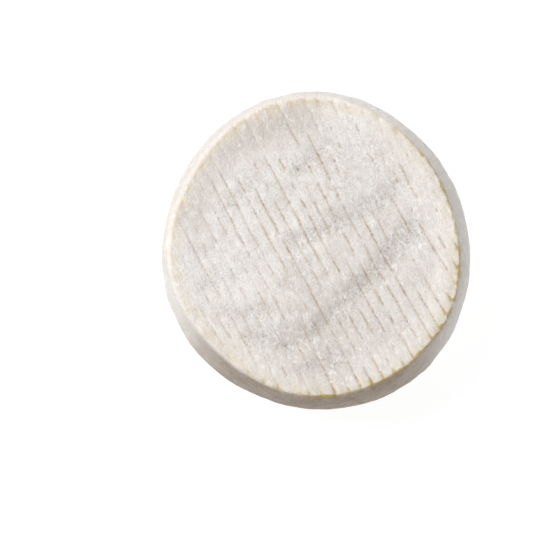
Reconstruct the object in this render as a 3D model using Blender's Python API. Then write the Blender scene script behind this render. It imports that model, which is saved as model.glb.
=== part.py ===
"""A small soft-ripened cheese wheel with a white rind, modelled as one solid.

Metres, +Z up. The wheel lies on its underside, which is on z = 0, and the middle of its box
stands over the origin. The draining mat's marks run along Y across the upper face.
"""

import math

import bmesh
import bpy
from mathutils import Vector

# Driving dimensions, in metres
WHEEL_DIAMETER = 0.112       # over the fullest part of the wall, averaged round the wheel
WHEEL_HEIGHT = 0.034
FACE_DIAMETER = 0.1030       # of either flat face, out to its edge, averaged in the same way
SHOULDER_WIDTH = 0.0016      # the rounding where a face turns down into the wall
MARK_PITCH = 0.00415         # between one mat mark and the next
MARK_OFFSET = -0.00055       # of the middle mark from the origin, along X
MARK_WIDTH = 0.0010
MARK_DEPTH = 0.0005
MARK_MARGIN = 0.0030         # the face's edge, where no further mark fits

# The wheel settled out of round. Each wave: peaks round the wheel, height as a share of the
# radius, and the direction of its first peak, in degrees from +X towards +Y.
OUTLINE_WAVES = ((2, 0.021, 78.0), (3, 0.0115, 60.0), (4, 0.005, -3.0))
# The edges of the faces wander further. These waves come on top, and die out at half height.
FACE_WAVES = ((2, 0.007, 110.0), (3, 0.005, 26.0), (4, 0.012, -34.0), (5, 0.006, 14.0))

ROUND_STEPS = 96             # faces round the wheel
WALL_STEPS = 10              # faces from the lower edge to the upper one
SHOULDER_STEPS = 3
SHOULDER_ANGLE = math.radians(40.0)   # only the two edges of the wall turn more sharply

RIND_COLOUR = (0.74, 0.70, 0.65, 1.0)
RIND_ROUGHNESS = 0.9


def clear_scene():
    """Removes the objects that a new Blender file starts with."""
    for item in list(bpy.data.objects):
        bpy.data.objects.remove(item, do_unlink=True)


def rind_material():
    """Matt, warm white rind."""
    material = bpy.data.materials.new("rind")
    material.use_nodes = True
    shader = material.node_tree.nodes["Principled BSDF"]
    shader.inputs["Base Color"].default_value = RIND_COLOUR
    shader.inputs["Roughness"].default_value = RIND_ROUGHNESS
    shader.inputs["Metallic"].default_value = 0.0
    return material


def wall_profile():
    """The wall from the lower edge to the upper one, as (radius, height) points.

    It is an arc of one circle, which stands half the difference of the two diameters proud
    of the face edges at half height.
    """
    bulge = (WHEEL_DIAMETER - FACE_DIAMETER) / 2
    half_height = WHEEL_HEIGHT / 2
    arc_radius = (half_height ** 2 + bulge ** 2) / (2 * bulge)
    half_angle = math.asin(half_height / arc_radius)
    arc_centre = WHEEL_DIAMETER / 2 - arc_radius
    points = []
    for step in range(WALL_STEPS + 1):
        angle = half_angle * (2 * step / WALL_STEPS - 1)
        points.append((arc_centre + arc_radius * math.cos(angle),
                       half_height + arc_radius * math.sin(angle)))
    return points


def round_waves(angle, waves):
    """Sum of the given waves in one direction, as a share of the radius."""
    return sum(height * math.cos(peaks * (angle - math.radians(first_peak)))
               for peaks, height, first_peak in waves)


def outline_factor(angle, height):
    """How much fuller than round the wheel is in one direction and at one height."""
    from_middle = abs(2 * height / WHEEL_HEIGHT - 1)
    face_share = from_middle ** 2 * (3 - 2 * from_middle)
    return 1 + round_waves(angle, OUTLINE_WAVES) + face_share * round_waves(angle, FACE_WAVES)


def wheel_object(material):
    """Spins the wall's profile round Z, closes both faces and takes the wheel out of round."""
    bm = bmesh.new()
    chain = [bm.verts.new((radius, 0.0, height)) for radius, height in wall_profile()]
    edges = [bm.edges.new(pair) for pair in zip(chain, chain[1:])]
    bmesh.ops.spin(bm, geom=chain + edges, cent=(0, 0, 0), axis=(0, 0, 1),
                   angle=math.tau, steps=ROUND_STEPS, use_merge=True)
    bmesh.ops.holes_fill(bm, edges=[edge for edge in bm.edges if edge.is_boundary])

    for vert in bm.verts:
        factor = outline_factor(math.atan2(vert.co.y, vert.co.x), vert.co.z)
        vert.co.x *= factor
        vert.co.y *= factor
    middle = Vector((
        (max(v.co.x for v in bm.verts) + min(v.co.x for v in bm.verts)) / 2,
        (max(v.co.y for v in bm.verts) + min(v.co.y for v in bm.verts)) / 2,
        min(v.co.z for v in bm.verts),
    ))
    bmesh.ops.translate(bm, vec=-middle, verts=bm.verts)
    bmesh.ops.recalc_face_normals(bm, faces=bm.faces)

    mesh = bpy.data.meshes.new("cheese_wheel")
    bm.to_mesh(mesh)
    bm.free()
    mesh.materials.append(material)
    mesh.shade_smooth()
    mesh.set_sharp_from_angle(angle=math.radians(25.0))
    wheel = bpy.data.objects.new("cheese_wheel", mesh)
    bpy.context.collection.objects.link(wheel)
    return wheel


def mark_cutter():
    """One V-shaped bar along Y for each mat mark, its point down, as a hidden cutter."""
    reach = WHEEL_DIAMETER                      # well past the wheel at both ends
    clearance = 0.001                           # how far the bars stand above the face
    half_width = MARK_WIDTH / 2 * (MARK_DEPTH + clearance) / MARK_DEPTH
    top = WHEEL_HEIGHT + clearance
    bottom = WHEEL_HEIGHT - MARK_DEPTH
    marks_each_side = int((FACE_DIAMETER / 2 - MARK_MARGIN) / MARK_PITCH)

    bm = bmesh.new()
    for mark in range(-marks_each_side, marks_each_side + 1):
        x = MARK_OFFSET + mark * MARK_PITCH
        end = bm.faces.new([
            bm.verts.new((x - half_width, -reach, top)),
            bm.verts.new((x, -reach, bottom)),
            bm.verts.new((x + half_width, -reach, top)),
        ])
        bar = bmesh.ops.extrude_face_region(bm, geom=[end], use_keep_orig=True)
        far_end = [item for item in bar["geom"] if isinstance(item, bmesh.types.BMVert)]
        bmesh.ops.translate(bm, vec=(0, 2 * reach, 0), verts=far_end)
    bmesh.ops.recalc_face_normals(bm, faces=bm.faces)

    mesh = bpy.data.meshes.new("mat_mark_bars")
    bm.to_mesh(mesh)
    bm.free()
    cutter = bpy.data.objects.new("mat_mark_bars", mesh)
    cutter.display_type = "WIRE"
    cutter.hide_render = True
    bpy.context.collection.objects.link(cutter)
    return cutter


def finish_wheel(wheel, cutter):
    """Rounds both shoulders, then presses the mat's marks into the upper face."""
    shoulders = wheel.modifiers.new("shoulders", "BEVEL")
    shoulders.limit_method = "ANGLE"
    shoulders.angle_limit = SHOULDER_ANGLE
    shoulders.width = SHOULDER_WIDTH
    shoulders.segments = SHOULDER_STEPS

    marks = wheel.modifiers.new("mat_marks", "BOOLEAN")
    marks.operation = "DIFFERENCE"
    marks.solver = "EXACT"
    marks.object = cutter


def main():
    clear_scene()
    wheel = wheel_object(rind_material())
    finish_wheel(wheel, mark_cutter())


main()
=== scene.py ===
"""A small soft-ripened cheese wheel with a white rind, and the plain studio it is shown in.

The file is laid out as an add-on and run as a script. Lengths are metres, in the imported
model's own frame: +Z up, +Y along the draining mat's marks, the origin under the wheel's middle.
"""

import itertools
import math

import bpy
import numpy as np
from mathutils import Matrix, Vector


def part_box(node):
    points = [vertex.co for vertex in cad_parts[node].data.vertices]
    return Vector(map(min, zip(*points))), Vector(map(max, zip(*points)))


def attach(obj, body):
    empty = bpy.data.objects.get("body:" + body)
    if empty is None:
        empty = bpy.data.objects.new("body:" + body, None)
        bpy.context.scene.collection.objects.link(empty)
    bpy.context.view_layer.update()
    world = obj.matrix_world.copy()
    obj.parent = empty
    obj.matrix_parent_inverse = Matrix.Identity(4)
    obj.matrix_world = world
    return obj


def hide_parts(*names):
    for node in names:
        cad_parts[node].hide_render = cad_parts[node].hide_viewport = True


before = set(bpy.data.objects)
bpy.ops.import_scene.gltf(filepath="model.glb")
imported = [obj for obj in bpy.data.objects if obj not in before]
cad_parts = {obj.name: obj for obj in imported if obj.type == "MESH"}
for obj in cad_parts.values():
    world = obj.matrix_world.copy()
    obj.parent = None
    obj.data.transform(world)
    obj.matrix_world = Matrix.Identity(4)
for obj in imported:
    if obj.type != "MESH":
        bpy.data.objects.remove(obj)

bl_info = {
    "name": "Cheese Wheel",
    "version": (1, 0, 0),
    "blender": (4, 5, 0),
    "location": "3D View > Sidebar > Cheese",
    "description": "Makes a white-rind cheese wheel and a plain studio round it",
    "category": "Object",
}

MM = 0.001
NODE = "cheese_wheel"
BODY = "root"

LOW_CORNER, HIGH_CORNER = (np.array(corner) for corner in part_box(NODE))
WHEEL_WIDTH = float(HIGH_CORNER[0] - LOW_CORNER[0])
WHEEL_HEIGHT = float(HIGH_CORNER[2] - LOW_CORNER[2])

LENGTH = {"unit": "LENGTH", "precision": 5}     # for every setting of a length

# Each wave of the wheel's outline: peaks round it, height as a share of the radius, and the
# direction of its first peak in degrees from +X towards +Y. They are the solid's own waves.
OUTLINE_WAVES = ((2, 0.021, 78.0), (3, 0.0115, 60.0), (4, 0.005, -3.0))
# The same for the edge of the faces, on top of the wheel's own outline.
FACE_WAVES = ((2, 0.007, 110.0), (3, 0.005, 26.0), (4, 0.012, -34.0), (5, 0.006, 14.0))
OUTLINE_SAMPLES = 1441       # directions in which the outline's box is measured

# The faces' middle mark, along X from the origin, and the seed of all their unevenness.
UPPER_OFFSET, UPPER_SEED = -0.55 * MM, 11
LOWER_OFFSET, LOWER_SEED = 0.9 * MM, 47
LOWER_RELIEF = 0.35          # of the underside, as a share of the upper face's
LOWER_MARKS = 0.5            # the same for the depth of its marks

MARKS_EACH_SIDE = 11         # mat marks on either side of the middle one
MARK_JITTER = 0.22           # millimetres that a mark may stand off its even place
HOLLOW_WIDTH = 0.95 * MM     # half the width of the shallow hollow that a mark lies in
FACE_ROWS = 140              # across the marks
END_COLUMNS = 3              # past the last mark, on each side
CORNER_ANGLE = math.radians(15.0)   # from the X axis to where the grid's corners meet the rim
RIM_START, RIM_BREADTH = 0.79, 0.20     # of the raised rim's slope, as shares of the radius
SHOULDER_STEPS = 6           # over each shoulder
WALL_STEPS = 20              # from one shoulder to the other
NOISE_CELLS = 96             # along each side of the noise's lattice
NOISE_SHIFT = 1000.5         # keeps every place on that lattice above 0
WORN_SIDE = math.radians(-52.0)     # direction in which the shoulder's bloom is most worn
# The brown side faces away from the key light: its brown is partly real browning, partly painted
# shade.
BROWN_SHADE_SIDE = math.radians(-120.0)   # direction in which the wall is brownest
# Round the rosy side, towards the key light, the rim's inner slope and the shoulder are painted
# darker and rosy: painted shade.
ROSY_SHADE_SIDE = math.radians(104.0)     # direction in which the face's edge is rosy
SHOULDER_LINE = 1.15         # millimetres down from the face's rim to the ochre line
PAST_ANY_MARK = 2.0          # millimetres from a mark at which nothing of it shows

# Where columns of the face's grid stand beside each mark. One more stands midway to the next.
COLUMN_STEPS = np.array((-1.45, -0.85, -0.42, -0.17, 0.0, 0.17, 0.42, 0.85, 1.45)) * MM

# Long unbroken marks: which one it is from the middle, and where it starts and ends along Y.
# Lengths are millimetres here and in the three lists that follow.
LONG_MARKS = (
    (4, -12, 37),
    (0, -11, 38),
    (-1, -18, 8),
    (-2, -24, 20),
    (-3, -4, 24),
    (-5, -20, 10),
    (1, -9, 16),
    (2, -38, -26),
    (3, -30, -8),
    (5, -10, 4),
    (8, -22, 0),
)

# Creases pressed across the marks: (x, y) at both ends, half width and depth.
CREASES = (
    ((-4, 5), (14, 3.0), 3.4, 0.42),
    ((14, 3.0), (33, 4), 4.4, 0.58),
    ((33, -11), (10, -20), 5.0, 0.92),
    ((8, -21), (-9, -25), 4.8, 0.92),
    ((-10, -26), (-23, -27), 4.8, 0.80),
    ((-24, -26), (-34, -17), 4.4, 0.50),
    ((-12, -38), (-27, -36), 4.4, 0.50),
    ((-20, 27), (-8, 31), 3.4, 0.28),
    ((8, 26), (22, 31), 3.2, 0.30),
    ((-38, -6), (-24, -12), 3.6, 0.30),
)

# Soft swellings: (x, y) of the top, half width and height.
SWELLINGS = (
    ((4, 16), 4.0, 0.26),
    ((-19, 10), 4.5, 0.24),
    ((-9, 24), 4.0, 0.24),
    ((-35, 2), 4.5, 0.28),
    ((28, 36), 5.0, 0.34),
    ((40, 13), 4.5, 0.26),
    ((22, -3), 3.6, 0.30),
    ((-2, -31), 5.0, 0.24),
)

# Broad areas where the bloom is lighter, or darker where the share is below 0: (x, y) of the
# middle, half width and share. The darker ones, all towards -Y, are partly thinner bloom and
# partly painted shadow.
BLOOM_AND_SHADOW_AREAS = (
    ((-36, 15), 20, 0.42),
    ((-16, 38), 12, 0.30),
    ((32, 32), 13, 0.45),
    ((-2, 6), 16, 0.18),
    ((37, -9), 13, 0.28),
    ((-18, -40), 13, -0.90),
    ((-6, -24), 14, -0.95),
    ((17, -13), 13, -0.50),
    ((15, -37), 12, -0.35),
)

# Each light: direction round the wheel from +X towards +Y and angle above the floor, both in
# degrees, then distance and size in metres.
KEY_LIGHT = (118.0, 45.0, 2.4, 1.3)
SIDE_LIGHT = (-40.0, 25.0, 2.0, 1.2)

FLOOR_REACH = 4.2            # from the middle to the side of the floor
FLOOR_POINTS = 85            # along each side
FLOOR_FLAT = 3.0             # from the middle to where it rises
FLOOR_RISE = 0.9             # times the square of the distance past that
FLOOR_TOP = 1.0              # where it is level again
FLOOR_GAP = 0.1 * MM         # between the floor and the wheel


# ----------------------------------------
# What a user can change


def shade(name, description, default):
    """A colour among the settings."""
    return bpy.props.FloatVectorProperty(
        name=name, description=description, default=default,
        size=3, min=0.0, max=1.0, subtype="COLOR")


class WheelShape(bpy.types.PropertyGroup):
    """Sizes of the wheel, of its mat marks and of its soft unevenness."""

    shoulder_radius: bpy.props.FloatProperty(
        name="Shoulder radius", description="Rounding between a face and the wall",
        default=1.5 * MM, min=0.5 * MM, max=5 * MM, **LENGTH)
    wall_lean: bpy.props.FloatProperty(
        name="Wall lean", description="How far the bulging wall leans out at the shoulder",
        default=math.radians(31.0), min=math.radians(5.0), max=math.radians(60.0),
        subtype="ANGLE")
    rim_height: bpy.props.FloatProperty(
        name="Rim height", description="How far the edge of the upper face stands above its middle",
        default=1.05 * MM, min=0.0, max=3 * MM, **LENGTH)
    mark_pitch: bpy.props.FloatProperty(
        name="Mark pitch", description="Distance from one mat mark to the next",
        default=4.15 * MM, min=3.2 * MM, max=4.4 * MM, **LENGTH)
    mark_width: bpy.props.FloatProperty(
        name="Mark width", description="Half the width of a mat mark's crease",
        default=0.36 * MM, min=0.1 * MM, max=1 * MM, **LENGTH)
    mark_depth: bpy.props.FloatProperty(
        name="Mark depth", description="Depth of a mat mark where the bloom hasn't closed it",
        default=0.27 * MM, min=0.0, max=1 * MM, **LENGTH)
    notch_depth: bpy.props.FloatProperty(
        name="Notch depth", description="Depth of a mark where it runs out over the shoulder",
        default=0.30 * MM, min=0.0, max=2 * MM, **LENGTH)
    lump_height: bpy.props.FloatProperty(
        name="Lump height", description="Height of the soft lumps all over the wheel",
        default=0.35 * MM, min=0.0, max=2 * MM, **LENGTH)


class RindLook(bpy.types.PropertyGroup):
    """Colours and finish of the rind."""

    bloom: shade("Bloom", "Thick white mould bloom", (0.748, 0.720, 0.690))
    thin_bloom: shade(
        "Thin bloom", "Bloom thin enough to show the paste's warm grey", (0.628, 0.579, 0.539))
    tuft: shade("Tufts", "Small standing tufts of mould", (0.838, 0.822, 0.806))
    rosy: shade("Rosy bloom", "Faint pinkish beige patches", (0.618, 0.560, 0.512))
    cream: shade("Cream", "Warm cream bloom near the edge", (0.745, 0.690, 0.634))
    # Partly the bloom's own grey, partly painted shade in the creases' troughs.
    grey: shade("Grey bloom", "Rough grey bloom at the bottom of creases", (0.545, 0.508, 0.475))
    pore: shade("Pores", "Fine pores between the tufts", (0.420, 0.385, 0.355))
    wall: shade("Wall", "The wall's bloom", (0.590, 0.555, 0.525))
    # Partly the brown of worn bloom, partly painted shade on the wall's side away from the key
    # light.
    worn_and_shaded_wall: shade(
        "Worn wall", "Brownish grey where the wall's bloom is worn", (0.262, 0.190, 0.134))
    mark: shade("Mark", "Beige-brown rind at the bottom of the mat marks", (0.440, 0.300, 0.160))
    dark_mark: shade("Dark mark", "Olive-brown rind where a mark is open", (0.310, 0.195, 0.090))
    halo: shade("Halo", "Thin beige bloom beside the marks", (0.560, 0.500, 0.430))
    edge: shade(
        "Edge", "Ochre line where the bloom wears thin on the shoulder", (0.410, 0.290, 0.050))
    pale_edge: shade(
        "Pale edge", "Straw colour in the notches on the unworn side", (0.630, 0.510, 0.280))
    grain: bpy.props.FloatProperty(
        name="Grain", description="Size of the bloom's felt-like grain",
        default=0.55 * MM, min=0.1 * MM, max=2 * MM, **LENGTH)
    roughness: bpy.props.FloatProperty(
        name="Roughness", description="How matt the bloom is",
        default=0.92, min=0.0, max=1.0, subtype="FACTOR")
    fuzz: bpy.props.FloatProperty(
        name="Fuzz", description="Velvety sheen of the standing mould",
        default=0.25, min=0.0, max=1.0, subtype="FACTOR")


class StudioSetup(bpy.types.PropertyGroup):
    """The camera, the light and the floor."""

    elevation: bpy.props.FloatProperty(
        name="Elevation", description="How steeply the camera looks down",
        default=math.radians(85.0), subtype="ANGLE")
    roll: bpy.props.FloatProperty(
        name="Roll", description="Turn of the picture about the line of sight",
        default=math.radians(28.0), subtype="ANGLE")
    distance: bpy.props.FloatProperty(
        name="Distance", description="From the camera to the face of the wheel",
        default=0.701, min=0.2, max=5.0, unit="LENGTH")
    lens: bpy.props.FloatProperty(
        name="Lens", description="Focal length, in millimetres",
        default=135.0, min=20.0, max=300.0, unit="CAMERA")
    aim: bpy.props.FloatVectorProperty(
        name="Aim", description="Point on the upper face's plane at the middle of the picture",
        default=(-17.6 * MM, 2.2 * MM), size=2, unit="LENGTH")
    key_power: bpy.props.FloatProperty(
        name="Key power", description="Power of the large soft light, in watts",
        default=60.0, min=0.0, max=500.0, unit="POWER")
    side_power: bpy.props.FloatProperty(
        name="Side power", description="Power of the weak light from the side, in watts",
        default=7.5, min=0.0, max=500.0, unit="POWER")
    fill: bpy.props.FloatProperty(
        name="Fill", description="Brightness of the white room",
        default=0.42, min=0.0, max=5.0)
    floor: shade("Floor", "Colour of the plain floor", (0.24, 0.24, 0.24))
    floor_glow: bpy.props.FloatProperty(
        name="Floor glow", description="Light that the floor gives out, as a light table does",
        default=0.86, min=0.0, max=2.0)


class CheeseSettings(bpy.types.PropertyGroup):
    """All settings of the add-on, kept on the scene."""

    shape: bpy.props.PointerProperty(
        type=WheelShape, name="Shape", description="Sizes of the wheel")
    look: bpy.props.PointerProperty(
        type=RindLook, name="Look", description="Colours and finish of the rind")
    studio: bpy.props.PointerProperty(
        type=StudioSetup, name="Studio", description="Camera, light and floor")


# ----------------------------------------
# Small formulas


def ease(t):
    """Smooth step: t held to 0..1, then 3t^2 - 2t^3."""
    t = np.clip(t, 0.0, 1.0)
    return t * t * (3.0 - 2.0 * t)


def bell(distance, half_width):
    """Bell curve: e to the minus the square of distance over half width."""
    return np.exp(-np.square(distance / half_width))


def crowded(t, share):
    """Crowds even steps from -1 to 1 towards both ends: part t, part sine of t quarter turns."""
    return (1 - share) * t + share * np.sin(t * math.pi / 2)


def soft_noise(points, grain, seed):
    """Smooth noise in space, between -1 and 1.

    Seeded heights stand on a cubic lattice, `grain` apart. A point's value is the sum of the
    eight heights round it, each weighted by nearness along every axis, where nearness t is
    eased by 6t^5 - 15t^4 + 10t^3.
    """
    lattice = np.random.default_rng(seed).uniform(-1.0, 1.0, (NOISE_CELLS,) * 3)
    place = points / grain + NOISE_SHIFT
    cell = np.floor(place).astype(int)
    t = place - cell
    near = t * t * t * (t * (t * 6.0 - 15.0) + 10.0)
    total = np.zeros(points.shape[:-1])
    for corner in itertools.product((0, 1), repeat=3):
        index = (cell + corner) % NOISE_CELLS
        weight = np.prod(np.where(corner, near, 1.0 - near), axis=-1)
        total += lattice[index[..., 0], index[..., 1], index[..., 2]] * weight
    return total


def in_space(x, y, z=0.0):
    """Stacks coordinate arrays into points."""
    return np.stack(np.broadcast_arrays(x, y, z), axis=-1)


def round_waves(angle, waves):
    """Sum of the waves in one direction: a cosine for each one."""
    return sum(height * np.cos(peaks * (angle - math.radians(first_peak)))
               for peaks, height, first_peak in waves)


def outline_factor(angle, face_share=0.0):
    """Radius of the wheel over its average one: 1 plus the outline's waves.

    The faces' own waves are added by their share, 1 at a face's edge and 0 at half height.
    """
    return (1.0 + round_waves(angle, OUTLINE_WAVES)
            + face_share * round_waves(angle, FACE_WAVES))


def outline_middle_and_width():
    """Middle of the box round the outline of average radius 1, and its width along X."""
    angle = np.linspace(0.0, math.tau, OUTLINE_SAMPLES)
    x = outline_factor(angle) * np.cos(angle)
    y = outline_factor(angle) * np.sin(angle)
    middle = np.array(((x.max() + x.min()) / 2, (y.max() + y.min()) / 2))
    return middle, x.max() - x.min()


# ----------------------------------------
# The wheel's surface


class WallProfile:
    """The wheel's side seen in section, read by the angle of its outward normal.

    The normal turns from straight up to straight down. While it is steeper than the wall's
    lean, the point is on a shoulder: a small arc. In between it is on the wall: one large arc
    about a centre at half height, whose ends meet the shoulder arcs without a corner.
    """

    def __init__(self, shape, wall_radius):
        lean = shape.wall_lean
        self.lean = lean
        self.shoulder = shape.shoulder_radius
        self.arc = (WHEEL_HEIGHT / 2 - self.shoulder * (1 - math.sin(lean))) / math.sin(lean)
        self.arc_middle = wall_radius - self.arc
        self.face_radius = self.arc_middle + (self.arc - self.shoulder) * math.cos(lean)

    def normal_angles(self):
        """Angles of the rows from one face's rim to the other's, closer near the shoulders."""
        shoulder = np.linspace(math.pi / 2, self.lean, SHOULDER_STEPS + 1)[:-1]
        wall = self.lean * crowded(np.linspace(1.0, -1.0, WALL_STEPS + 1), 0.4)
        return np.concatenate((shoulder, wall, -shoulder[::-1]))

    def point(self, angle):
        """Radius and height where the normal stands at this angle above the horizontal."""
        on_shoulder = np.abs(angle) > self.lean
        up = np.sign(angle)
        middle_radius = np.where(on_shoulder, self.face_radius, self.arc_middle)
        middle_height = np.where(on_shoulder, up * (WHEEL_HEIGHT / 2 - self.shoulder), 0.0)
        arc = np.where(on_shoulder, self.shoulder, self.arc)
        return (middle_radius + arc * np.cos(angle),
                WHEEL_HEIGHT / 2 + middle_height + arc * np.sin(angle))

    def way_down(self, angle):
        """Length along the section from the nearer face's rim to the point at this angle."""
        turned = math.pi / 2 - np.abs(angle)
        over_shoulder = math.pi / 2 - self.lean
        return (self.shoulder * np.minimum(turned, over_shoulder)
                + self.arc * np.maximum(turned - over_shoulder, 0.0))


class Face:
    """One flat face as a grid: columns along the mat marks, rows across them.

    On a disc of radius 1, the column that crosses the middle at u ends on the rim at
    x = u - bow, with bow = (1 - cos c) u |u|^7 and c the corner angle, and between its ends it
    bulges back to u the way the rim's own arc does. A row takes the same share of every
    column's length, and rows crowd towards both ends.
    """

    def __init__(self, shape, radius, middle, offset, seed):
        self.radius = radius
        self.seed = seed
        marks = np.arange(-MARKS_EACH_SIDE, MARKS_EACH_SIDE + 1)
        jitter = np.random.default_rng(seed).uniform(-MARK_JITTER, MARK_JITTER, marks.size) * MM
        self.mark_places = (offset + marks * shape.mark_pitch + jitter) / radius

        columns = self.columns(shape)
        nearest = np.abs(columns[:, None] - self.mark_places).argmin(axis=1)
        self.mark = nearest[:, None] - MARKS_EACH_SIDE
        self.from_mark = ((columns - self.mark_places[nearest]) * radius)[:, None]

        self.lay_out(columns, crowded(np.linspace(-1.0, 1.0, FACE_ROWS), 0.65), middle)
        sizes = np.random.default_rng(seed + 5).uniform(0.0, 1.0, (marks.size, 2)) ** 1.5
        self.end_size = sizes[self.mark + MARKS_EACH_SIDE, self.far_end]

    def columns(self, shape):
        """Where the columns cross the middle: dense at each mark and sparse between marks."""
        half_gap = shape.mark_pitch / 2 / self.radius
        at_marks = self.mark_places[:, None] + COLUMN_STEPS / self.radius
        between = (self.mark_places[1:] + self.mark_places[:-1]) / 2
        left = np.linspace(-1.0, self.mark_places[0] - half_gap, END_COLUMNS)
        right = np.linspace(self.mark_places[-1] + half_gap, 1.0, END_COLUMNS)
        return np.sort(np.concatenate((left, at_marks.ravel(), between, right)))

    def lay_out(self, columns, rows, middle):
        """Works out the grid's plan, in metres, from the disc of radius 1."""
        u, s = np.meshgrid(columns, rows, indexing="ij")
        end_x = u - (1 - math.cos(CORNER_ANGLE)) * u * np.abs(u) ** 7
        bulge = ((np.sqrt(1 - (s * math.sin(CORNER_ANGLE)) ** 2) - math.cos(CORNER_ANGLE))
                 / (1 - math.cos(CORNER_ANGLE)))
        x = end_x + (u - end_x) * bulge
        y = s * np.sqrt(1 - end_x ** 2)
        self.share = np.hypot(x, y)
        self.angle = np.arctan2(y, x)
        self.to_rim = (1 - self.share) * self.radius

        self.end_gap = (1 - np.abs(s)) * np.sqrt(1 - end_x ** 2) * self.radius
        self.far_end = (s > 0).astype(int)

        calm = 1 - self.share ** 4
        here = in_space(x, y) * self.radius
        drift = (soft_noise(here, 26 * MM, self.seed + 1) * 0.55 * MM
                 + soft_noise(here, 6.5 * MM, self.seed + 15) * 0.20 * MM)
        x = x + calm * drift / self.radius
        swell = 1 + (outline_factor(self.angle, 1.0) - 1) * self.share ** 2
        self.x = x * swell * self.radius - middle[0]
        self.y = y * swell * self.radius - middle[1]
        self.plan = in_space(self.x, self.y)
        self.worn = worn_share(self.plan)

    def along_marks(self, grain, seed):
        """Noise that changes along each mark and differs from mark to mark."""
        return soft_noise(in_space(self.mark * 0.371, self.y), grain, self.seed + seed)

    def opened(self, long_marks):
        """How open each mark is along its length, 0 where the bloom has closed it, to 1.

        Runs of about a centimetre, broken up by short gaps, are eased to 0 or 1, and here and
        there a single dot is open. Marks are mostly closed on the +X, +Y part of the face, where
        the bloom is thick, and veiled towards -X. More are open towards -Y.
        """
        uneven = soft_noise(self.plan, 16 * MM, self.seed + 3)
        thick = ease((self.x - 12 * MM) / (20 * MM)) * ease((self.y + 12 * MM) / (24 * MM))
        runs = self.along_marks(9 * MM, 2) + 0.85 * self.along_marks(2.4 * MM, 8)
        lower = ease(-self.y / (30 * MM))
        busy = bell(np.hypot(self.x - 12 * MM, self.y + 22 * MM), 16 * MM)
        opened = runs + 0.7 * uneven - 0.55 * thick + 0.15 * lower + 0.3 * busy + 0.14
        opened = ease(opened / 0.35)
        if long_marks:
            gaps = ease(0.80 + 1.5 * self.along_marks(2.6 * MM, 9))
            for mark, start, end in LONG_MARKS:
                reach = ease((self.y / MM - start) / 3) * ease((end - self.y / MM) / 3)
                own = np.where(self.mark == mark, reach * gaps, 0.0)
                opened = np.maximum(opened, own)
        at_rim = bell(self.end_gap, 7 * MM) * (1 - self.worn)
        veiled = ease((-self.x - 10 * MM) / (22 * MM))
        opened *= (0.70 + 0.42 * self.along_marks(5 * MM, 10)) * (1 - 0.42 * veiled)
        dots = ease((self.along_marks(1.3 * MM, 16) - 0.60) / 0.15)
        return np.maximum(opened, 0.9 * dots) * (1 - 0.9 * at_rim)

    def notches(self):
        """Share of each notch's full depth: a V seen from above, its point along the mark.

        Every end of every mark has its own size. Across the notch, the share falls from 1 at
        the mark to 0 at the half width, which shrinks evenly from the rim to the V's point.
        """
        size = self.end_size
        length = (1.1 + 2.2 * size) * MM
        narrowing = np.clip(1 - self.end_gap / length, 0.0, 1.0)
        half_width = (0.36 + 0.38 * size) * MM * narrowing + 0.02 * MM
        across = ease(1.25 - np.abs(self.from_mark) / half_width)
        return (0.4 + 0.6 * size) * ease(1.4 * narrowing) * across

    def marks(self, shape, long_marks):
        """Depth of the marks in metres, and what the rind's colour follows beside them.

        A mark is a thin bell-shaped crease in a wide shallow one. The wide one deepens towards
        the rim, which rounds the ends of the bands between marks like finger tips.
        """
        opened = self.opened(long_marks)
        drift = self.along_marks(6 * MM, 4) * (1 - bell(self.end_gap, 3 * MM))
        aside = self.from_mark - drift * 0.16 * MM
        thin = bell(aside, shape.mark_width)
        wide = bell(aside, HOLLOW_WIDTH)
        hollow = (0.10 + 0.08 * self.along_marks(8 * MM, 17) + 0.09 * opened
                  + (0.08 + 0.20 * self.end_size) * bell(self.end_gap, 5 * MM))
        notches = self.notches()
        notched = notches * shape.notch_depth * (0.35 + 0.65 * self.worn)
        depth = thin * opened * shape.mark_depth + wide * hollow * MM + notched
        beside = np.broadcast_to(np.abs(aside) / MM, opened.shape)
        dot = bell(self.from_mark, 0.50 * MM) * bell(self.end_gap - 0.4 * MM, 0.55 * MM)
        return depth, {"beside": beside, "open": opened, "notch": notches, "dot": dot}

    def relief(self, shape, creased):
        """Height of the face above its plane, and how much of a trough each point lies in.

        The rim is an eased slope up towards the edge, of ragged height. Creases and swellings
        are bells of ragged width. Noise at three sizes makes the rest.
        """
        ragged = (1 + 0.45 * soft_noise(self.plan, 13 * MM, self.seed + 12)
                  + 0.22 * soft_noise(self.plan, 5 * MM, self.seed + 18))
        rim = ease((self.share - RIM_START) / RIM_BREADTH)
        height = rim * ragged * shape.rim_height - 0.2 * shape.rim_height * (1 - self.share ** 2)
        trough = 0.35 * ease(0.5 - 1.5 * soft_noise(self.plan, 14 * MM, self.seed + 13))
        if creased:
            for start, end, half_width, depth in CREASES:
                valley = self.crease(start, end, half_width * MM * ragged)
                height -= valley * depth * MM
                trough = np.maximum(trough, valley * min(1.0, 2.2 * depth))
            for top, half_width, rise in SWELLINGS:
                height += self.crease(top, top, half_width * MM * ragged) * rise * MM
        height += soft_noise(self.plan, 14 * MM, self.seed + 6) * 0.30 * MM
        height += soft_noise(self.plan, 6 * MM, self.seed + 7) * 0.17 * MM
        height += soft_noise(self.plan, 2.9 * MM, self.seed + 14) * 0.075 * MM
        return height, trough * (1 - ease((self.share - 0.80) / 0.12))

    def crease(self, start, end, half_width):
        """Bell-shaped ridge of height 1 along a straight line, fading out past both its ends.

        The ends are in millimetres, and distance is measured to the nearest point of the line
        between them. A line of no length makes a round bell.
        """
        start = np.array(start) * MM
        along = np.array(end) * MM - start
        here = np.stack((self.x, self.y), axis=-1) - start
        t = np.clip(here @ along / max(along @ along, 1e-12), 0.0, 1.0)
        gap = np.linalg.norm(here - t[..., None] * along, axis=-1)
        return bell(gap, half_width)


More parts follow.
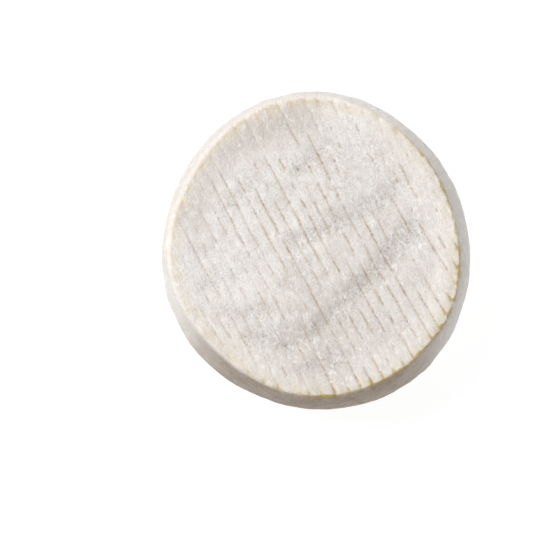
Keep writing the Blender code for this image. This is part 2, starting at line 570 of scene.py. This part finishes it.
def rim_order(columns, rows):
    """Grid indices once round the edge, anticlockwise seen from above, from the first corner."""
    i, j = np.arange(columns), np.arange(rows)
    last_i, last_j = columns - 1, rows - 1
    round_i = np.concatenate((i[:-1], np.full(last_j, last_i), i[:0:-1], np.full(last_j, 0)))
    round_j = np.concatenate((np.full(last_i, 0), j[:-1], np.full(last_i, last_j), j[:0:-1]))
    return round_i, round_j


def grid_quads(index, turned_over):
    """Four-sided faces of a grid of vertex indices, facing up, or down if turned over."""
    quads = np.stack((index[:-1, :-1], index[1:, :-1], index[1:, 1:], index[:-1, 1:]), axis=-1)
    quads = quads.reshape(-1, 4)
    return quads[:, ::-1] if turned_over else quads


def wall_quads(rows_of_indices):
    """Faces of the wall between rows of indices from the upper rim down, facing outwards."""
    upper, lower = rows_of_indices[:-1], rows_of_indices[1:]
    quads = (upper, lower, np.roll(lower, -1, axis=1), np.roll(upper, -1, axis=1))
    return np.stack(quads, axis=-1).reshape(-1, 4)


def joined(upper, wall, lower):
    """One row for each point, in the order upper face, wall, lower face."""
    parts = (upper, wall, lower)
    return np.concatenate([part.reshape((-1,) + part.shape[2:]) for part in parts])


def wheel_surface(shape):
    """The whole rind as points, quads and the painted values for each point.

    Each face is a grid. The wall joins their edges: along the section it follows the profile,
    and round the wheel its angle and height go smoothly from the upper rim's to the lower's.
    Last, every point moves along its outward normal by the lumps, less the marks.
    """
    unit_middle, unit_width = outline_middle_and_width()
    wall_radius = WHEEL_WIDTH / unit_width
    middle = unit_middle * wall_radius
    profile = WallProfile(shape, wall_radius)
    upper = Face(shape, profile.face_radius, middle, UPPER_OFFSET, UPPER_SEED)
    lower = Face(shape, profile.face_radius, middle, LOWER_OFFSET, LOWER_SEED)

    upper_depth, upper_mark = upper.marks(shape, long_marks=True)
    lower_depth, lower_mark = lower.marks(shape, long_marks=False)
    upper_relief, upper_trough = upper.relief(shape, creased=True)
    lower_relief, lower_trough = lower.relief(shape, creased=False)
    lower_relief = -LOWER_RELIEF * lower_relief
    lower_depth = LOWER_MARKS * lower_depth

    grid = upper.x.shape
    rim = rim_order(*grid)
    angles = profile.normal_angles()[1:-1, None]
    blend = ease((profile.lean - angles) / (2 * profile.lean))
    turn = np.angle(np.exp(1j * (lower.angle[rim] - upper.angle[rim])))
    around = upper.angle[rim] + blend * turn
    radius, height = profile.point(angles)
    face_share = ease(np.abs(2 * height / WHEEL_HEIGHT - 1))
    swell = outline_factor(around, face_share)
    wall_x = radius * swell * np.cos(around) - middle[0]
    wall_y = radius * swell * np.sin(around) - middle[1]
    wall_z = height + (1 - blend) * upper_relief[rim] + blend * lower_relief[rim]

    way_down = np.broadcast_to(profile.way_down(angles), around.shape)
    near_upper = angles > 0

    def down_the_wall(upper_values, lower_values, reach):
        """Values at the rims carried onto the wall, dying out as a bell over the reach."""
        at_rim = np.where(near_upper, upper_values[rim], lower_values[rim])
        return at_rim * bell(way_down, reach)

    wall_depth = down_the_wall(upper_depth, lower_depth, 2.0 * MM)
    wall_points = in_space(wall_x, wall_y, wall_z)
    # On the rosy side the face's colour, with its painted shade, runs further over the shoulder.
    soft = 1 - worn_share(wall_points) + 1.2 * rosy_shade_share(wall_points)
    wall_share = ease((way_down / MM - 0.9 * soft) / (0.8 + 1.8 * soft))
    wall_normal = in_space(np.cos(angles) * np.cos(around), np.cos(angles) * np.sin(around),
                           np.sin(angles))
    points = joined(in_space(upper.x, upper.y, WHEEL_HEIGHT + upper_relief), wall_points,
                    in_space(lower.x, lower.y, lower_relief))
    flat = np.zeros(grid)
    normals = joined(in_space(flat, flat, 1.0), wall_normal, in_space(flat, flat, -1.0))
    sideways = joined(flat, np.broadcast_to(np.cos(angles), around.shape), flat)
    depth = joined(upper_depth, wall_depth, lower_depth)
    points = points + normals * (lumps(points, sideways) * shape.lump_height - depth)[:, None]

    def run_over(key, reach):
        """One of the marks' values on the faces, carried a little way down the wall."""
        below = down_the_wall(upper_mark[key], lower_mark[key], reach)
        return joined(upper_mark[key], below, lower_mark[key])

    on_wall = joined(flat, wall_share, flat)
    no_mark = np.zeros(around.shape)
    painted = {
        "beside": joined(upper_mark["beside"], no_mark + PAST_ANY_MARK, lower_mark["beside"]),
        "open": joined(upper_mark["open"], no_mark, lower_mark["open"]),
        "notch": run_over("notch", 1.1 * MM),
        "dot": run_over("dot", 0.6 * MM),
        "trough": joined(upper_trough, no_mark, lower_trough),
        "down": joined(-upper.to_rim / MM, way_down / MM, -lower.to_rim / MM),
        "worn": worn_share(points),
        "brown": brown_and_shade_share(points),
        "rosy": rosy_shade_share(points),
        "thick": bloom_and_shadow_areas(points) * (1 - on_wall),
        "wall": on_wall,
    }

    upper_index = np.arange(upper.x.size).reshape(grid)
    wall_index = upper.x.size + np.arange(around.size).reshape(around.shape)
    lower_index = upper.x.size + around.size + upper_index
    rows = np.vstack((upper_index[rim], wall_index, lower_index[rim]))
    quads = np.concatenate((grid_quads(upper_index, False), wall_quads(rows),
                            grid_quads(lower_index, True)))
    points[:, 2] -= points[:, 2].min()
    return points, quads, painted


def lumps(points, sideways):
    """Unevenness of the rind as a share of the lump height: noise at four sizes.

    The two large ones are only on the wall, where one is drawn out into level folds.
    """
    folds = soft_noise(points * np.array((1.0, 1.0, 3.2)), 15 * MM, 6)
    return (sideways * (soft_noise(points, 24 * MM, 3) + 0.45 * folds)
            + (0.15 + 0.65 * sideways) * soft_noise(points, 6.5 * MM, 4)
            + (0.11 + 0.22 * sideways) * soft_noise(points, 2.3 * MM, 5))


def share_towards(points, side, start, breadth):
    """How far round to one side of the wheel each point is, eased from 0 to 1.

    It follows the cosine of the angle from that side, from `start` on, over the breadth.
    """
    angle = np.arctan2(points[..., 1], points[..., 0])
    return ease((np.cos(angle - side) - start) / breadth)


def worn_share(points):
    """How worn the shoulder's bloom is: most on the worn side, and uneven by noise."""
    uneven = 0.80 + 0.35 * soft_noise(points, 9 * MM, 7)
    return share_towards(points, WORN_SIDE, -0.25, 0.8) * uneven


def rosy_shade_share(points):
    """How rosy the face's edge is, as painted shade: 1 round the rosy side and 0 on most of the
    wheel.
    """
    return share_towards(points, ROSY_SHADE_SIDE, 0.5, 0.35)


def brown_and_shade_share(points):
    """How brown the wall is, partly painted shade: 1 round the brown side, and less next to the
    floor.
    """
    from_floor = 0.6 + 0.4 * ease((points[:, 2] - 1 * MM) / (12 * MM))
    return share_towards(points, BROWN_SHADE_SIDE, 0.40, 0.50) * from_floor


def bloom_and_shadow_areas(points):
    """How much lighter, or below 0 darker, the bloom is: the sum of a round bell for each area."""
    total = np.zeros(len(points))
    for middle, half_width, share in BLOOM_AND_SHADOW_AREAS:
        gap = np.hypot(points[:, 0] - middle[0] * MM, points[:, 1] - middle[1] * MM)
        total += share * bell(gap, half_width * MM)
    return total


def mesh_object(name, points, quads, material, painted=None):
    """Puts points and quads in a new smooth mesh object, with a painted value on each point."""
    mesh = bpy.data.meshes.new(name)
    mesh.from_pydata(points.tolist(), [], quads.tolist())
    mesh.validate()
    for key, values in (painted or {}).items():
        layer = mesh.attributes.new(key, "FLOAT", "POINT")
        layer.data.foreach_set("value", values.astype(np.float32))
    mesh.materials.append(material)
    mesh.shade_smooth()
    made = bpy.data.objects.new(name, mesh)
    bpy.context.collection.objects.link(made)
    return made


# ----------------------------------------
# Materials


class Nodes:
    """Short ways to add and join the nodes of one material."""

    def __init__(self, material):
        material.use_nodes = True
        self.tree = material.node_tree
        self.shader = self.tree.nodes["Principled BSDF"]
        self.place = self.tree.nodes.new("ShaderNodeTexCoord").outputs["Object"]

    def put(self, socket, value):
        """Links an input to another node's output, or sets it to a value."""
        if isinstance(value, bpy.types.NodeSocket):
            self.tree.links.new(value, socket)
        else:
            socket.default_value = value

    def add(self, kind, inputs=None, **settings):
        """Adds a node, sets its properties, and sets or links its inputs."""
        node = self.tree.nodes.new(kind)
        for key, value in settings.items():
            setattr(node, key, value)
        for key, value in (inputs or {}).items():
            self.put(node.inputs[key], value)
        return node

    def painted(self, name):
        """A value painted on the mesh's points."""
        return self.add("ShaderNodeAttribute", attribute_name=name).outputs["Fac"]

    def noise(self, grain, detail=2.0, roughness=0.5, stretch=(1.0, 1.0, 1.0)):
        """Noise whose lumps are about `grain` metres across, round 0.5.

        The place is multiplied by `stretch` first, so less than 1 draws the lumps out.
        """
        place = self.add("ShaderNodeMapping", {"Vector": self.place, "Scale": stretch})
        return self.add("ShaderNodeTexNoise", {
            "Vector": place.outputs["Vector"], "Scale": 1.0 / grain, "Detail": detail,
            "Roughness": roughness}).outputs["Fac"]

    def ranged(self, value, low, high, to_low=0.0, to_high=1.0):
        """Takes low..high to a new range, eased at both ends."""
        return self.add("ShaderNodeMapRange", {
            "Value": value, "From Min": low, "From Max": high,
            "To Min": to_low, "To Max": to_high},
            interpolation_type="SMOOTHSTEP").outputs["Result"]

    def compute(self, operation, *values):
        """One arithmetic step on two or three values."""
        return self.add("ShaderNodeMath", dict(enumerate(values)), operation=operation).outputs[0]

    def times(self, first, second):
        """The product of two values."""
        return self.compute("MULTIPLY", first, second)

    def from_line(self, shift):
        """Distance in millimetres from a line round the wheel, `-shift` down from the rim."""
        return self.compute("ABSOLUTE", self.compute("ADD", self.painted("down"), shift))

    def mix(self, amount, first, second):
        """Mixes two colours."""
        first, second = (value if isinstance(value, bpy.types.NodeSocket) else (*value, 1.0)
                         for value in (first, second))
        inputs = {"Factor": amount, 6: first, 7: second}
        return self.add("ShaderNodeMix", inputs, data_type="RGBA").outputs[2]

    def bump(self, height, distance, strength, below=None):
        """A bump of the given real height, on top of another one."""
        inputs = {"Height": height, "Distance": distance, "Strength": strength}
        if below is not None:
            inputs["Normal"] = below
        return self.add("ShaderNodeBump", inputs).outputs["Normal"]

    def finish(self, **inputs):
        """Sets or links inputs of the shader, named with _ for a space."""
        for key, value in inputs.items():
            self.put(self.shader.inputs[key.replace("_", " ")], value)


def bloom_colour(nodes, look):
    """Bloom of uneven thickness, partly painted shade: cream and rosy patches, white tufts, grey
    pores in troughs.
    """
    cloudy = nodes.ranged(nodes.noise(6 * MM, detail=5.0, roughness=0.62), 0.40, 0.66, 0.0, 0.50)
    colour = nodes.mix(cloudy, look.bloom, look.thin_bloom)
    rosy = nodes.ranged(nodes.noise(11 * MM, detail=3.0), 0.50, 0.68, 0.0, 0.50)
    colour = nodes.mix(rosy, colour, look.rosy)

    near_rim = nodes.ranged(nodes.painted("down"), -15.0, -6.0)
    patches = nodes.ranged(nodes.noise(8 * MM, detail=3.0), 0.38, 0.62, 0.15, 0.78)
    # On the rosy side the rim's inner slope takes the rosy tone in full: painted shade. Elsewhere
    # the cream patches are the bloom's own tone.
    rosy_shade_side = nodes.painted("rosy")
    patches = nodes.compute("MAXIMUM", patches, rosy_shade_side)
    rim_tone_and_shade = nodes.mix(rosy_shade_side, look.cream, look.rosy)
    colour = nodes.mix(nodes.times(near_rim, patches), colour, rim_tone_and_shade)

    # Broad lighter and darker areas; the darker ones are partly painted shadow.
    thick = nodes.painted("thick")
    colour = nodes.mix(nodes.compute("MAXIMUM", thick, 0.0), colour, look.tuft)
    thin = nodes.compute("MAXIMUM", nodes.times(thick, -1.0), 0.0)
    colour = nodes.mix(thin, colour, look.thin_bloom)

    streaks = nodes.noise(1.25 * MM, detail=3.0, roughness=0.60, stretch=(1.0, 0.24, 1.0))
    patchy = nodes.ranged(nodes.noise(10 * MM), 0.36, 0.62, 0.35, 1.0)
    streaks = nodes.times(nodes.ranged(streaks, 0.44, 0.62, 0.0, 0.48), patchy)
    colour = nodes.mix(streaks, colour, look.thin_bloom)

    ragged = nodes.ranged(nodes.noise(2.6 * MM, detail=5.0, roughness=0.7), 0.36, 0.60, 0.35, 1.15)
    # Grey in the troughs: partly the bloom's own grey, partly painted shade in the creases.
    trough_grey_and_shade = nodes.times(nodes.painted("trough"), ragged)
    colour = nodes.mix(nodes.times(trough_grey_and_shade, 0.62), colour, look.grey)
    pores = nodes.noise(0.62 * MM, detail=2.5, roughness=0.75, stretch=(1.0, 0.8, 1.0))
    pores = nodes.ranged(pores, 0.50, 0.62)
    amount = nodes.compute("MULTIPLY_ADD", trough_grey_and_shade, 0.80, 0.17)
    colour = nodes.mix(nodes.times(pores, amount), colour, look.pore)
    standing = nodes.noise(1.2 * MM, detail=4.0, roughness=0.70, stretch=(1.0, 0.48, 1.0))
    tufts = nodes.times(nodes.ranged(standing, 0.50, 0.64, 0.0, 0.62), patchy)
    return nodes.mix(tufts, colour, look.tuft)


def wall_colour(nodes, look):
    """The wall's bloom, with fine pores and white tufts.

    It is mottled and brown on one side, where the brown is partly real browning and partly
    painted shade away from the key light. It is greyer under the rosy part of the face's edge,
    which is painted shade there, and stained a little just under the ochre line.
    """
    mottled = nodes.noise(6 * MM, detail=6.0, roughness=0.62, stretch=(1.0, 1.0, 1.5))
    # The wall's brown side: partly real browning, partly painted shade.
    brown = nodes.times(nodes.painted("brown"), nodes.ranged(mottled, 0.34, 0.66, 0.76, 1.0))
    colour = nodes.mix(brown, look.wall, look.worn_and_shaded_wall)
    under = nodes.ranged(nodes.painted("down"), 1.0, 7.0, 0.22, 0.0)
    under = nodes.times(under, nodes.painted("worn"))
    colour = nodes.mix(under, colour, look.mark)
    # Greyer under the rosy part of the edge: painted shade on the top of the wall.
    shoulder_shade = nodes.ranged(nodes.painted("down"), 3.0, 14.0, 0.80, 0.0)
    colour = nodes.mix(nodes.times(shoulder_shade, nodes.painted("rosy")), colour, look.grey)
    thin = nodes.ranged(nodes.noise(4.5 * MM, detail=5.0, roughness=0.65), 0.46, 0.66, 0.0, 0.30)
    white = nodes.ranged(brown, 0.0, 0.6, 1.0, 0.15)
    colour = nodes.mix(nodes.times(thin, white), colour, look.thin_bloom)
    pores = nodes.ranged(nodes.noise(0.9 * MM, detail=3.0, roughness=0.7), 0.50, 0.66, 0.0, 0.18)
    colour = nodes.mix(pores, colour, look.pore)
    tufts = nodes.ranged(nodes.noise(2.4 * MM, detail=4.0, roughness=0.65), 0.48, 0.70, 0.0, 0.28)
    return nodes.mix(nodes.times(tufts, white), colour, look.tuft)


def rind_colour(nodes, look):
    """Bloom on the faces, the wall's own colour, brown mat marks and an ochre shoulder line.

    A mark is dark where the distance beside its crease is less than a width that noise changes
    from place to place, and more noise breaks it up into dashes and dots.
    """
    colour = nodes.mix(nodes.painted("wall"), bloom_colour(nodes, look), wall_colour(nodes, look))

    beside, opened = nodes.painted("beside"), nodes.painted("open")
    width = nodes.ranged(nodes.noise(1.5 * MM, detail=3.0, roughness=0.7), 0.36, 0.64, 0.15, 0.52)
    core = nodes.ranged(beside, nodes.times(width, 0.3), nodes.times(width, 1.5), 1.0, 0.0)
    ragged = nodes.ranged(nodes.noise(0.9 * MM, detail=3.0, roughness=0.8), 0.40, 0.56, 0.22, 1.0)
    halo = nodes.times(opened, nodes.ranged(beside, 0.1, 1.1, 0.26, 0.0))
    colour = nodes.mix(halo, colour, look.halo)
    strong = nodes.ranged(nodes.noise(3 * MM), 0.44, 0.62)
    pigment = nodes.mix(strong, look.mark, look.dark_mark)
    line = nodes.times(nodes.times(core, ragged), opened)
    colour = nodes.mix(nodes.times(line, 0.76), colour, pigment)
    return ochre_shoulder(nodes, look, colour)


def ochre_shoulder(nodes, look, colour):
    """Lays a straw tint, the ochre line and the filled notches over the colour.

    The line follows the shoulder, `SHOULDER_LINE` below the face's rim, and noise moves it
    up and down, changes its breadth and wears gaps in it.
    """
    worn, notch = nodes.painted("worn"), nodes.painted("notch")
    from_edge = nodes.from_line(0.5)
    straw = nodes.ranged(nodes.noise(4 * MM, detail=3.0, roughness=0.6), 0.36, 0.64, 0.05, 0.27)
    tint = nodes.times(nodes.ranged(from_edge, 0.4, 3.4, 1.0, 0.0), straw)
    colour = nodes.mix(tint, colour, look.pale_edge)

    gaps = nodes.ranged(nodes.noise(2.8 * MM, detail=4.0, roughness=0.7), 0.40, 0.56, 0.14, 1.0)
    wobble = nodes.ranged(nodes.noise(4 * MM), 0.3, 0.7,
                          -0.3 - SHOULDER_LINE, 0.3 - SHOULDER_LINE)
    across = nodes.from_line(wobble)
    breadth = nodes.ranged(nodes.noise(6 * MM), 0.36, 0.64, 0.45, 1.50)
    line = nodes.ranged(across, nodes.times(breadth, 0.35), breadth, 1.0, 0.0)
    line = nodes.times(nodes.times(line, worn), gaps)
    colour = nodes.mix(nodes.times(line, 0.92), colour, look.edge)

    spotted = nodes.ranged(nodes.noise(3.5 * MM), 0.36, 0.60, 0.35, 1.0)
    colour = nodes.mix(nodes.times(nodes.painted("dot"), spotted), colour, look.pale_edge)
    filled = nodes.times(nodes.ranged(notch, 0.15, 0.75), worn)
    return nodes.mix(nodes.times(filled, 0.60), colour, look.edge)


def rind_bump(nodes, look):
    """Felt of fine mould over soft tufts drawn out along the marks, with small pores."""
    drawn_out = nodes.noise(1.9 * MM, detail=3.0, roughness=0.55, stretch=(1.0, 0.28, 1.0))
    tufts = nodes.bump(drawn_out, 0.8 * MM, 0.8)
    fine = nodes.noise(look.grain, detail=4.0, roughness=0.7, stretch=(1.0, 0.55, 1.0))
    felt = nodes.bump(fine, 0.42 * MM, 0.8, below=tufts)
    cells = nodes.add("ShaderNodeTexVoronoi", {"Vector": nodes.place, "Scale": 1.0 / (1.3 * MM)})
    pores = nodes.ranged(cells.outputs["Distance"], 0.08, 0.34)
    return nodes.bump(pores, 0.12 * MM, 0.7, below=felt)


def rind_material(look):
    """The whole rind: matt, velvety and slightly translucent."""
    material = bpy.data.materials.new("rind_bloom")
    nodes = Nodes(material)
    nodes.finish(
        Base_Color=rind_colour(nodes, look), Normal=rind_bump(nodes, look),
        Roughness=look.roughness, Specular_IOR_Level=0.25,
        Sheen_Weight=look.fuzz, Sheen_Roughness=0.55, Sheen_Tint=(1.0, 0.98, 0.95, 1.0),
        Subsurface_Weight=0.12, Subsurface_Radius=(1.0, 0.72, 0.48), Subsurface_Scale=1.3 * MM)
    return material


def floor_material(colour, glow):
    """Plain matt floor of a light table, which gives out even white light."""
    material = bpy.data.materials.new("studio_floor")
    Nodes(material).finish(
        Base_Color=(*colour, 1.0), Roughness=0.8, Specular_IOR_Level=0.2,
        Emission_Color=(1.0, 1.0, 1.0, 1.0), Emission_Strength=glow)
    return material


# ----------------------------------------
# The studio


def camera_axes(elevation, roll):
    """The camera's right, up and back as the columns of a 3 by 3 matrix.

    Back is (0, -cos e, sin e), with e the elevation. Right is +X before the roll, which then
    turns right and up about back, so that the picture turns anticlockwise.
    """
    back = Vector((0.0, -math.cos(elevation), math.sin(elevation)))
    level = Vector((1.0, 0.0, 0.0))
    upright = back.cross(level)
    right = level * math.cos(roll) - upright * math.sin(roll)
    up = level * math.sin(roll) + upright * math.cos(roll)
    return Matrix((right, up, back)).transposed()


def add_camera(studio):
    """The camera that looks down on the upper face."""
    camera = bpy.data.objects.new("camera", bpy.data.cameras.new("camera"))
    camera.data.lens = studio.lens
    axes = camera_axes(studio.elevation, studio.roll)
    target = Vector((studio.aim[0], studio.aim[1], WHEEL_HEIGHT))
    camera.matrix_world = Matrix.Translation(target + axes.col[2] * studio.distance) @ axes.to_4x4()
    bpy.context.collection.objects.link(camera)
    bpy.context.scene.camera = camera


def add_area_light(name, place, power):
    """A square light at the end of a line that leaves the wheel in the given direction."""
    direction, elevation = (math.radians(angle) for angle in place[:2])
    distance, size = place[2:]
    light = bpy.data.lights.new(name, "AREA")
    light.shape = "SQUARE"
    light.size = size
    light.energy = power
    lamp = bpy.data.objects.new(name, light)
    away = Vector((math.cos(direction) * math.cos(elevation),
                   math.sin(direction) * math.cos(elevation), math.sin(elevation)))
    lamp.location = away * distance
    lamp.rotation_euler = away.to_track_quat("Z", "Y").to_euler()
    bpy.context.collection.objects.link(lamp)


def add_floor(colour, glow):
    """A wide floor just under the wheel that curves up at its edge, as a backdrop does.

    Past its flat part it rises with the square of the distance, up to a level top.
    """
    across = np.linspace(-FLOOR_REACH, FLOOR_REACH, FLOOR_POINTS)
    x, y = np.meshgrid(across, across, indexing="ij")
    past = np.maximum(np.hypot(x, y) - FLOOR_FLAT, 0.0)
    z = np.minimum(FLOOR_RISE * past ** 2, FLOOR_TOP) - FLOOR_GAP
    points = in_space(x, y, z).reshape(-1, 3)
    quads = grid_quads(np.arange(x.size).reshape(x.shape), False)
    mesh_object("floor", points, quads, floor_material(colour, glow))


def light_room(brightness):
    """Even white light from all round."""
    world = bpy.data.worlds.new("white_room")
    bpy.context.scene.world = world
    world.use_nodes = True
    background = world.node_tree.nodes["Background"]
    background.inputs["Color"].default_value = (1.0, 1.0, 1.0, 1.0)
    background.inputs["Strength"].default_value = brightness


# ----------------------------------------
# Operators, panel and registration


class CHEESE_OT_make_wheel(bpy.types.Operator):
    """Make the cheese wheel with its white rind"""

    bl_idname = "cheese.make_wheel"
    bl_label = "Make the Wheel"

    def execute(self, context):
        settings = context.scene.cheese
        points, quads, painted = wheel_surface(settings.shape)
        wheel = mesh_object("white_rind_wheel", points, quads, rind_material(settings.look),
                            painted)
        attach(wheel, BODY)
        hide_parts(NODE)
        return {"FINISHED"}


class CHEESE_OT_make_studio(bpy.types.Operator):
    """Make the floor, the lights and the camera"""

    bl_idname = "cheese.make_studio"
    bl_label = "Make the Studio"

    def execute(self, context):
        studio = context.scene.cheese.studio
        context.scene.view_settings.view_transform = "Standard"
        add_floor(studio.floor, studio.floor_glow)
        light_room(studio.fill)
        add_area_light("key_light", KEY_LIGHT, studio.key_power)
        add_area_light("side_light", SIDE_LIGHT, studio.side_power)
        add_camera(studio)
        return {"FINISHED"}


class CHEESE_PT_panel(bpy.types.Panel):
    """Lists the operators and what they read"""

    bl_label = "Cheese Wheel"
    bl_idname = "CHEESE_PT_panel"
    bl_space_type = "VIEW_3D"
    bl_region_type = "UI"
    bl_category = "Cheese"

    def draw(self, context):
        settings = context.scene.cheese
        for group, operator in ((settings.shape, CHEESE_OT_make_wheel),
                                (settings.look, CHEESE_OT_make_wheel),
                                (settings.studio, CHEESE_OT_make_studio)):
            box = self.layout.box()
            for name in group.bl_rna.properties.keys():
                if name not in ("rna_type", "name"):
                    box.prop(group, name)
            box.operator(operator.bl_idname)


CLASSES = (WheelShape, RindLook, StudioSetup, CheeseSettings,
           CHEESE_OT_make_wheel, CHEESE_OT_make_studio, CHEESE_PT_panel)


def register():
    for entry in CLASSES:
        bpy.utils.register_class(entry)
    bpy.types.Scene.cheese = bpy.props.PointerProperty(
        type=CheeseSettings, name="Cheese", description="Settings of the cheese wheel")


def unregister():
    del bpy.types.Scene.cheese
    for entry in reversed(CLASSES):
        bpy.utils.unregister_class(entry)


def main():
    """Makes the wheel and the studio."""
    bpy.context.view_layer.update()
    register()
    bpy.ops.cheese.make_wheel()
    bpy.ops.cheese.make_studio()


if __name__ == "__main__":
    main()
